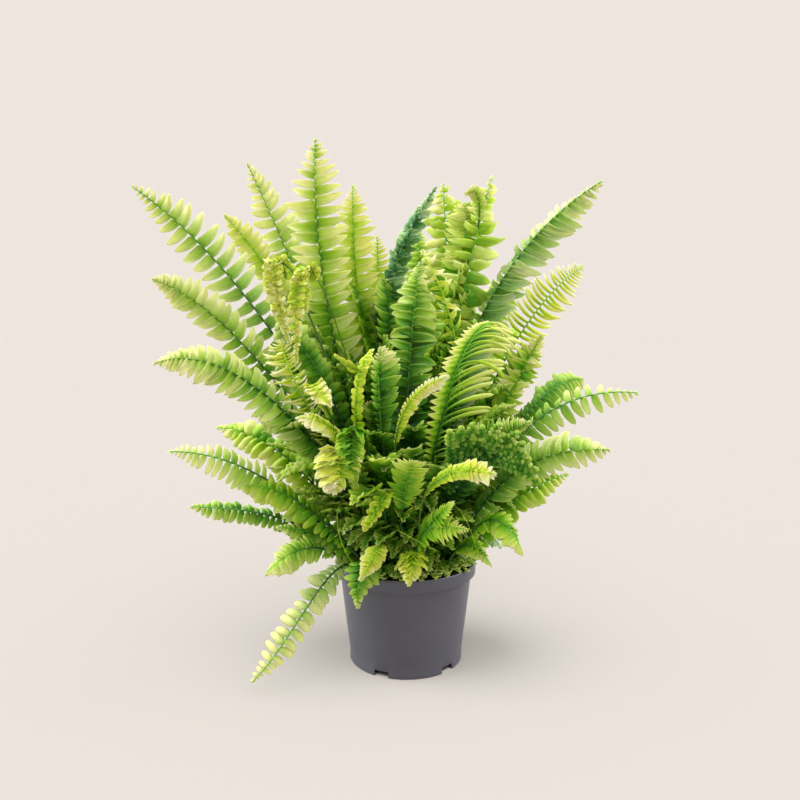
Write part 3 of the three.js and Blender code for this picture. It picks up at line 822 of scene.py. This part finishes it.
def makeFrond(name, foot, half, tip, lift, side, width, bare, age, leaf, nodes=(), changes=None):
    rng = random.Random(name)
    changes = changes or {}
    habit = {**plainHabit, **leafAges[age], **plainLeaflet, **leafletKinds[leaf], **changes}
    rows = {1: leafletSet(leaf, 1, changes), -1: leafletSet(leaf, -1, changes)}
    if "otherLeaf" in changes:
        rows[-1] = leafletSet(changes["otherLeaf"], -1, {})
    midrib = midribs[name] = Midrib(foot, half, tip, lift)
    bladed = midrib.length() * (1 - bare)
    bm = bmesh.new()
    bm.verts.layers.float.new("tone")
    bm.verts.layers.float.new("bloom")
    bm.loops.layers.uv.new("leaflet")
    sweepStalk(bm, midrib, habit["thinner"])
    run = 0.0
    while run < bladed:
        s = run / bladed
        u = bare + (1 - bare) * s
        fullness = bladeProfile(s, bladed - run, width, habit)
        narrowing = 1 - fullness if s > 0.5 else 0
        along, across, upper = bladeFrame(midrib, u, side, habit["twist"] * s)
        # tone rises to the tip (paler new growth plus painted light through it); painted shade darkens it
        # deep inside
        tone = habit["tone"] + habit["tipTone"] * s ** 2 - habit["shade"] * shadeDepthInPlant(midrib.at(u))
        # wax bloom and painted sheen, from the foot to the tip
        bloom = habit["bloom"][0] * (1 - s) + habit["bloom"][1] * s
        stagger = leafletRows["stagger"] * habit["pitch"] * width / bladed * (1 - bare)
        wider = 1 + leafletRows["tipWider"] * narrowing + habit["footWider"] * (1 - s)
        for hand in (1, -1):
            row = 0 if hand > 0 else 1
            reach = leafletRows["reach"] * width * fullness * habit["reach"][row]
            length = max(leafletRows["shortest"], reach * rng.uniform(*leafletRows["lengths"]))
            forward = habit["forward"] + hand * habit["lean"] + leafletRows["tipForward"] * narrowing
            forward = math.radians(forward + rng.uniform(-1, 1) * habit["scatter"])
            foldOff = leafletRows["foldScatter"] * rng.uniform(-1, 1) * habit["scatter"]
            fold = math.radians(habit["fold"] + foldOff)
            out = hand * across * math.cos(forward) + along * math.sin(forward)
            out = out * math.cos(fold) - upper * math.sin(fold)
            normal = (upper - out * upper.dot(out)).normalized()
            ahead = hand * normal.cross(out)  # towards the frond's tip, on either side
            rollOff = leafletRows["rollScatter"] * rng.uniform(-1, 1) * habit["scatter"]
            roll = math.radians(habit["roll"] + rollOff)
            normal = normal * math.cos(roll) - ahead * math.sin(roll)
            turn = Matrix((out, normal.cross(out), normal)).transposed().to_4x4()
            start = Matrix.Translation(midrib.at(min(1, u + hand * stagger)))
            size = Matrix.Diagonal((length, length * wider, length, 1))
            lighter = habit["rowTones"][row] + rng.uniform(-1, 1) * habit["tones"]
            leaflet = rng.choice(rows[hand])
            addLeaflet(bm, leaflet, start @ turn @ size, tone + lighter, habit["paler"], bloom)
        closeness = leafletRows["tipCloser"] + (1 - leafletRows["tipCloser"]) * fullness
        pitch = habit["pitch"] * 0.5 * width * closeness * rng.uniform(*leafletRows["steps"])
        run += max(leafletRows["leastStep"], pitch)
    # the last leaflet points along the stalk
    along, across, upper = bladeFrame(midrib, 1, side, habit["twist"])
    turn = Matrix((along, -across, upper)).transposed().to_4x4()
    start = Matrix.Translation(midrib.at(1) - along * leafletRows["endBack"])
    size = Matrix.Diagonal((*leafletRows["end"], 1))
    tone = habit["tone"] + habit["tipTone"]
    addLeaflet(bm, rows[1][0], start @ turn @ size, tone, leafletRows["endPaler"], habit["bloom"][1])
    piece = finishPiece(bm, name, leafMaterials[age], nodes)
    thick = piece.modifiers.new("leaf thickness", "SOLIDIFY")
    thick.thickness = leafletRows["thick"] * mm
    thick.offset = 0
    return piece


# What sets single fronds apart from the rest of their age and leaflet shape. The names are those of the
# values above, and otherLeaf is the shape of the second row where it differs.
oneOffs = {
    "heart": {"tone": 0.16, "tipTone": 0.66, "width": 0.34, "pitch": 0.32, "forward": 16, "fold": 16,
              "curl": -26, "tones": 0.2, "bloom": (0.3, 0.0), "droop": 0.4, "scatter": 12},
    "heart_arch": {"pitch": 1.3, "tone": 0.5, "scatter": 30, "tones": 0.25, "width": 0.34,
                   "reach": (1.4, 1.1), "droop": 0.5},
    "top_right_twisted": {"reach": (1.4, 0.9), "twist": 15, "pitch": 0.42, "droop": 0.5, "scatter": 16,
                          "tipRun": 1.1, "roll": 26, "tone": 0.4, "tones": 0.22, "width": 0.34,
                          "taper": 2.4, "round": 0.8, "paler": 0.35, "bloom": (0.3, 0.0)},
    "top_right": {"pitch": 0.32, "fold": 20, "tipRun": 0.7, "width": 0.4, "tone": 0.36, "scatter": 22,
                  "tones": 0.22, "ruffle": 0.14, "paler": 0.3},
    "top_blue": {"tone": 0.16, "pitch": 0.3, "fold": 24, "tones": 0.26, "scatter": 26,
                 "bloom": (1.0, 0.8), "reach": (0.8, 0.8), "width": 0.5},
    "top_middle": {"pitch": 0.36, "footWider": 0.5, "tone": 0.54, "tones": 0.2, "paler": 0.6},
    "top_second": {"pitch": 0.36, "footWider": 0.5, "tone": 0.56, "tones": 0.2, "paler": 0.6},
    "tallest": {"tone": 0.59, "tipTone": 0.42, "footWider": 0.5, "reach": (1.1, 1.1), "tones": 0.18,
                "paler": 0.7},
    "left_high": {"lean": 6, "tone": 0.6, "bloom": (0.7, 0.0), "width": 0.38, "tipRun": 1.9,
                  "pitch": 0.56, "reach": (1.1, 1.0)},
    "left_long": {"pitch": 0.6, "forward": 4, "tone": 0.57, "paler": 0.7, "width": 0.37,
                  "bloom": (0.9, 0.0), "tipRun": 2.0, "tipTone": 0.4},
    "left_short": {"pitch": 0.56, "tone": 0.57, "width": 0.46, "tipRun": 1.6},
    "left_arch": {"width": 0.4, "fold": 8, "tipRun": 2.0, "reach": (1.1, 1.15), "tone": 0.5,
                  "pitch": 0.54, "tones": 0.18, "bloom": (0.2, 0.0)},
    "left_second": {"width": 0.44, "tipRun": 1.9, "tone": 0.52, "bloom": (0.3, 0.0), "tones": 0.18},
    "left_pale_comb": {"tone": 0.62, "tones": 0.3, "pitch": 0.3, "tipRun": 0.9, "reach": (0.6, 1.1),
                       "scatter": 18},
    "left_curl": {"first": 1.0, "tipRun": 2.2, "pitch": 0.62, "scatter": 24, "width": 0.7, "tones": 0.2,
                  "tone": 0.5, "reach": (0.8, 1.1), "ruffle": 0.24, "tipTone": 0.3, "paler": 0.2},
    "left_curl_inner": {"first": 1.0, "tipRun": 2.2, "pitch": 0.7, "scatter": 24, "width": 0.7,
                        "tones": 0.2, "thinner": 0.5, "tone": 0.43, "reach": (0.9, 0.9), "ruffle": 0.24,
                        "tipTone": 0.2, "paler": 0.2},
    "heart_left": {"tone": 0.16, "tipTone": 1.0, "tipRun": 0.9, "reach": (1.2, 0.5), "pitch": 0.5,
                   "width": 0.46, "taper": 2.2, "bloom": (0.3, 0.1), "tones": 0.18},
    "heart_yellow": {"tone": 0.34, "tipTone": 0.2, "paler": 0.3, "pitch": 0.8, "width": 0.8,
                     "reach": (0.75, 0.6), "scatter": 14},
    "front_edge_lit": {"reach": (1.0, 0.5), "tone": 0.45, "tipTone": 0.6, "pitch": 0.7},
    "front_left_curl": {"tone": 0.3, "tipTone": 0.8, "tones": 0.2},
    "front_left_cluster": {"ruffle": 0.1, "tones": 0.25, "reach": (1.25, 1.0), "rowTones": (0.26, 0.0),
                           "first": 1.0, "tone": 0.38, "tipTone": 0.3, "otherLeaf": "spiky",
                           "pitch": 0.38, "width": 0.52, "roll": 12, "fold": 2, "cup": 0.05},
    "front_left_strip": {"tone": 0.2, "pitch": 0.8, "scatter": 18, "width": 0.8, "tipRun": 0.8},
    "front_pale": {"first": 0.3, "filled": 0.9, "tipRun": 0.5, "tone": 0.26, "tipTone": 0.6, "pitch": 0.5,
                   "taper": 2.2, "scatter": 12},
    "front_fan": {"first": 0.5, "tipRun": 0.5, "tone": 0.4},
    "front_spiky": {"pitch": 0.5, "width": 0.44, "tone": 0.3},
    "right_long": {"reach": (1.2, 0.8), "pitch": 0.42, "tone": 0.54, "fold": 24, "width": 0.38,
                   "roll": 30, "cup": 0.4, "tones": 0.26, "bloom": (1.0, 0.3), "scatter": 16,
                   "tipTone": 0.5, "tipRun": 1.6},
    "right_comb": {"reach": (1.1, 1.0)},
    "right_star": {"tone": 0.24, "tipTone": 0.75, "tones": 0.3, "pitch": 0.36, "scatter": 20,
                   "paler": 0.6},
    "right_arch": {"reach": (1.6, 0.6), "tone": 0.46, "tipTone": 0.3, "shade": 0.0, "otherLeaf": "spiky",
                   "lean": 48, "tones": 0.12, "rowTones": (0.06, 0.14), "pitch": 0.26, "width": 0.1,
                   "paler": 1.1},
    "right_arch_low": {"tone": 0.16, "bloom": (0.3, 0.0), "tones": 0.2, "reach": (0.6, 0.8),
                       "pitch": 0.2},
    "right_far": {"pitch": 0.6, "width": 0.4, "reach": (0.9, 0.78), "tone": 0.42, "bloom": (0.5, 0.0),
                  "tones": 0.14},
    "right_dark": {"pitch": 0.44, "tone": 0.16, "tipTone": 0.6, "width": 0.34, "bloom": (0.5, 0.0),
                   "tipRun": 0.8},
    "right_broad": {"pitch": 0.5, "width": 0.46, "fold": 14, "reach": (0.86, 1.16), "tone": 0.37,
                    "forward": 18, "bloom": (0.4, 0.0), "tipRun": 0.85, "tones": 0.14},
    "left_fingers": {"pitch": 0.5, "width": 0.36, "tone": 0.52, "bloom": (0.3, 0.0), "tipRun": 1.5,
                     "tones": 0.16},
    "left_hidden": {"tone": 0.42, "reach": (1.5, 0.95), "tones": 0.2},
    "left_droop": {"tone": 0.46, "pitch": 0.42, "bloom": (0.2, 0.1)},
    "front_droop": {"pitch": 0.58, "width": 0.5, "tone": 0.74, "bloom": (0.6, 0.1), "paler": 0.45,
                    "tones": 0.14},
    "left_dark": {"pitch": 0.62, "tone": 0.22, "bloom": (0.4, 0.0)},
    "rim_middle": {"tone": 0.3},
    "yellow_fork": {"thinner": 0.5, "tone": 0.42, "paler": 0.2, "tipTone": 0.15, "width": 0.8,
                    "reach": (1.1, 1.1)},
    "tip_spur": {"thinner": 0.5, "tone": 0.6, "shade": 0.0},
    "spiky_spur": {"thinner": 0.5},
    "arch_spur": {"thinner": 0.5, "tone": 0.34, "paler": 0.3},
    "third_right": {"tone": 0.36, "tones": 0.26, "scatter": 20, "paler": 0.3, "pitch": 0.32},
    "cluster_back": {"tone": 0.16, "reach": (1.0, 0.7)},
    "comb_back": {"tone": 0.16, "scatter": 14},
}

for whorl, rows in fronds.items():
    ring = whorls[whorl]
    for i, (name, *row) in enumerate(rows):
        turn = math.radians(-90 + i * 360 / len(rows))
        foot = (ring["radius"] * math.cos(turn), ring["radius"] * math.sin(turn), ring["foot"])
        makeFrond(f"{name}_frond", foot, *row, nodes=[f"frond_{name}"], changes=oneOffs.get(name))
    print(whorl, "whorl is grown")


# Small fronds that branch off another one: which one and how far along it, then as in the table of fronds.
branches = [
    ("yellow_fork", "heart_yellow", 0.82,
     (-43, -72, 254), (-52, -75, 262), 0, (0, 40), 16, 0.1, "young", "lobed"),
    ("tip_spur", "top_right_twisted", 0.86,
     (60, 6, 392), (50, 4, 394), 0, (90, 60), 15, 0.1, "fresh", "lobed"),
    ("spiky_spur", "front_spiky", 0.5,
     (24, -91, 147), (33, -96, 157), 0, (0, -60), 20, 0.1, "fresh", "spiky"),
    ("arch_spur", "left_curl", 0.6,
     (-84, -38, 318), (-78, -44, 296), 6, (90, 20), 14, 0.1, "young", "lobed"),
]
for name, carrier, place, *row in branches:
    makeFrond(f"{name}_frond", midribs[f"{carrier}_frond"].at(place), *row, changes=oneOffs[name])

# The low arch at the right is parted twice: a fan of ribs, each with two rows of small round beads. The ribs
# stand along a stretch of its stalk and turn from upright to level; up and out are the fan's two radii.
beadRibs = {
    "count": 12, "from": 0.36, "to": 0.6, "upright": 98, "level": -14, "up": 58, "out": 46, "front": -84,
    "bulge": (0, -7, 4), "width": 8.4, "bare": 0.04, "lift": 2, "turned": (-2, 2), "reach": (0.86, 1.0),
    "habit": {"thinner": 0.5, "tone": 0.24, "tipTone": 0.3, "tones": 0.26, "first": 0.9, "tipRun": 0.6,
              "width": 1.0, "pitch": 1.04, "bloom": (0.3, 0.0), "cup": -0.6, "grid": (4, 4), "paler": 0.3,
              "fold": 4, "roll": 4},
}
rng = random.Random("bead ribs")
for k in range(beadRibs["count"]):
    step = k / (beadRibs["count"] - 1)
    foot = midribs["right_arch_low_frond"].at(beadRibs["from"] * (1 - step) + beadRibs["to"] * step)
    turn = beadRibs["upright"] * (1 - step) + beadRibs["level"] * step + rng.uniform(*beadRibs["turned"])
    turn = math.radians(turn)
    reach = Vector((beadRibs["out"] * math.cos(turn), 0, beadRibs["up"] * math.sin(turn)))
    tip = Vector((foot.x, beadRibs["front"], foot.z)) + reach * rng.uniform(*beadRibs["reach"])
    half = foot.lerp(tip, 0.5) + Vector(beadRibs["bulge"])
    facing = (90, math.degrees(turn) - 90)
    makeFrond(f"bead_rib_{k + 1:02d}", foot, half, tip, beadRibs["lift"], facing, beadRibs["width"],
              beadRibs["bare"], "grown", "small", changes=beadRibs["habit"])

# Fronds behind the long ones, where the plant is thickest: foot first, then as in the table.
innerFronds = [
    ("low_left_front", (-26, -32, 80),
     (-83, -55, 147), (-130, -58, 160), 0, (180, 50), 26, 0.15, "fresh", "round"),
    ("low_left_inner", (-30, -26, 80),
     (-62, -48, 118), (-100, -56, 128), 6, (180, 45), 24, 0.1, "grown", "small"),
    ("mid_left_inner", (-16, -8, 84),
     (-72, -30, 190), (-120, -38, 214), 0, (150, 40), 32, 0.12, "grown", "small"),
    ("high_left_inner", (-10, -6, 84),
     (-66, -22, 236), (-104, -28, 282), 0, (110, 40), 30, 0.2, "grown", "small"),
    ("third_right", (6, 10, 84),
     (41, 6, 290), (50, 14, 388), 0, (90, 0), 36, 0.2, "fresh", "lance"),
    ("cluster_back", (-8, -36, 84),
     (-36, -76, 206), (-37, -84, 166), 34, (-90, 0), 28, 0.35, "fresh", "toothed"),
    ("comb_back", (14, 4, 84),
     (72, 8, 205), (112, 14, 268), 0, (90, -40), 34, 0.2, "grown", "spiky"),
]
for name, *row in innerFronds:
    makeFrond(f"{name}_frond", *row, changes=oneOffs.get(name))
print("branches and inner fronds are grown")


# runners: thin bare threads that grow out of the crown and bend down between the fronds; their foot, half
# way point, tip and lift
runners = [
    ((-6, -16, 86), (-30, -76, 165), (12, -82, 148), 20),
    ((8, -16, 86), (34, -70, 150), (52, -86, 118), 20),
    ((-14, -8, 86), (-50, -70, 150), (-40, -88, 110), 30),
    ((0, -18, 86), (-8, -78, 132), (22, -92, 120), 10),
    ((14, 8, 86), (70, 20, 150), (96, 10, 110), 30),
    ((-4, 16, 86), (-30, 70, 150), (-50, 90, 110), 30),
]
runnerThinner = 0.42


def makeRunner(name, foot, half, tip, lift):
    bm = bmesh.new()
    bm.verts.layers.float.new("tone")
    sweepStalk(bm, Midrib(foot, half, tip, lift), runnerThinner)
    for face in bm.faces:
        face.material_index = 0
    return finishPiece(bm, name, [leafMaterials["young"][1]])


for k, row in enumerate(runners):
    makeRunner(f"runner_{k + 1}", *row)
print("runners are grown")


# Short fronds between the long ones fill the plant. In each ring: how many, foot radius, how far they reach
# out and up, how much their tips hang, their width, leaflet shape, tone and ages.
fillers = {
    "cover": {"count": 110, "foot": 42, "out": (13, 19), "up": (9, 11), "hang": (1, 2), "width": (11, 14),
              "leaf": "small", "tone": 0.24, "ages": ["grown", "grown", "fresh"]},
    "rim": {"count": 120, "foot": 44, "out": (12, 19), "up": (12, 17), "hang": (3, 7), "width": (12, 15),
            "leaf": "small", "tone": 0.28, "ages": ["grown", "grown", "fresh", "grown"]},
    "low": {"count": 56, "foot": 36, "out": (26, 64), "up": (34, 84), "hang": (6, 20), "width": (14, 19),
            "leaf": "small", "tone": 0.25, "ages": ["grown", "fresh", "grown"]},
    "mid": {"count": 104, "foot": 26, "out": (40, 130), "up": (70, 180), "hang": (4, 24),
            "width": (20, 28), "leaf": "small", "tone": 0.2, "ages": ["grown", "grown", "fresh"]},
    # the core ring's low tone is painted shade deep in the plant
    "core": {"count": 44, "foot": 18, "out": (14, 76), "up": (120, 215), "hang": (0, 14),
             "width": (22, 28), "leaf": "small", "tone": 0.12, "ages": ["grown"]},
    "top": {"count": 22, "foot": 10, "out": (8, 56), "up": (190, 262), "hang": (0, 5), "width": (34, 40),
            "leaf": "lance", "tone": 0.26, "ages": ["grown", "fresh"]},
}
fillerGrowth = {
    "goldenAngle": 137.508,
    "swerve": (-8, 8),
    "soil": 80,
    "lift": 6,
    "bare": 0.1,
    "turned": (-25, 25),
    # their half way point, as parts of how far they reach out and up and of how much they hang
    "halfOut": 0.45,
    "halfUp": 0.7,
    "halfHang": 0.3,
    "habit": {"thinner": 0.7, "tipTone": 0.4, "tones": 0.16},
    # the ones in front stay behind the long fronds, except in the two rings at the rim, which are short
    "shortRings": ("rim", "cover"),
    "frontLower": 0.35,
    "frontCloser": 0.4,
    "steepest": 0.95,
}

for ringName, ring in fillers.items():
    rng = random.Random(ringName)
    for k in range(ring["count"]):
        azimuth = fillerGrowth["goldenAngle"] * k + rng.uniform(*fillerGrowth["swerve"])
        away = direction(azimuth, 0)
        foot = away * ring["foot"] + Vector((0, 0, fillerGrowth["soil"]))
        out = rng.uniform(*ring["out"])
        up = rng.uniform(*ring["up"])
        hang = rng.uniform(*ring["hang"])
        if ringName not in fillerGrowth["shortRings"]:
            front = max(0, -away.y)
            up *= 1 - fillerGrowth["frontLower"] * front
            out = min(out * (1 - fillerGrowth["frontCloser"] * front), fillerGrowth["steepest"] * up)
        halfHigh = up * fillerGrowth["halfUp"] + hang * fillerGrowth["halfHang"]
        half = foot + away * out * fillerGrowth["halfOut"] + Vector((0, 0, halfHigh))
        tip = foot + away * out + Vector((0, 0, up - hang))
        facing = (azimuth + 90 + rng.uniform(*fillerGrowth["turned"]), 0)
        width = rng.uniform(*ring["width"])
        age = ring["ages"][k % len(ring["ages"])]
        makeFrond(f"{ringName}_filler_{k + 1:02d}", foot, half, tip, fillerGrowth["lift"], facing, width,
                  fillerGrowth["bare"], age, ring["leaf"],
                  changes={**fillerGrowth["habit"], "tone": ring["tone"]})
    print(ringName, "is filled")
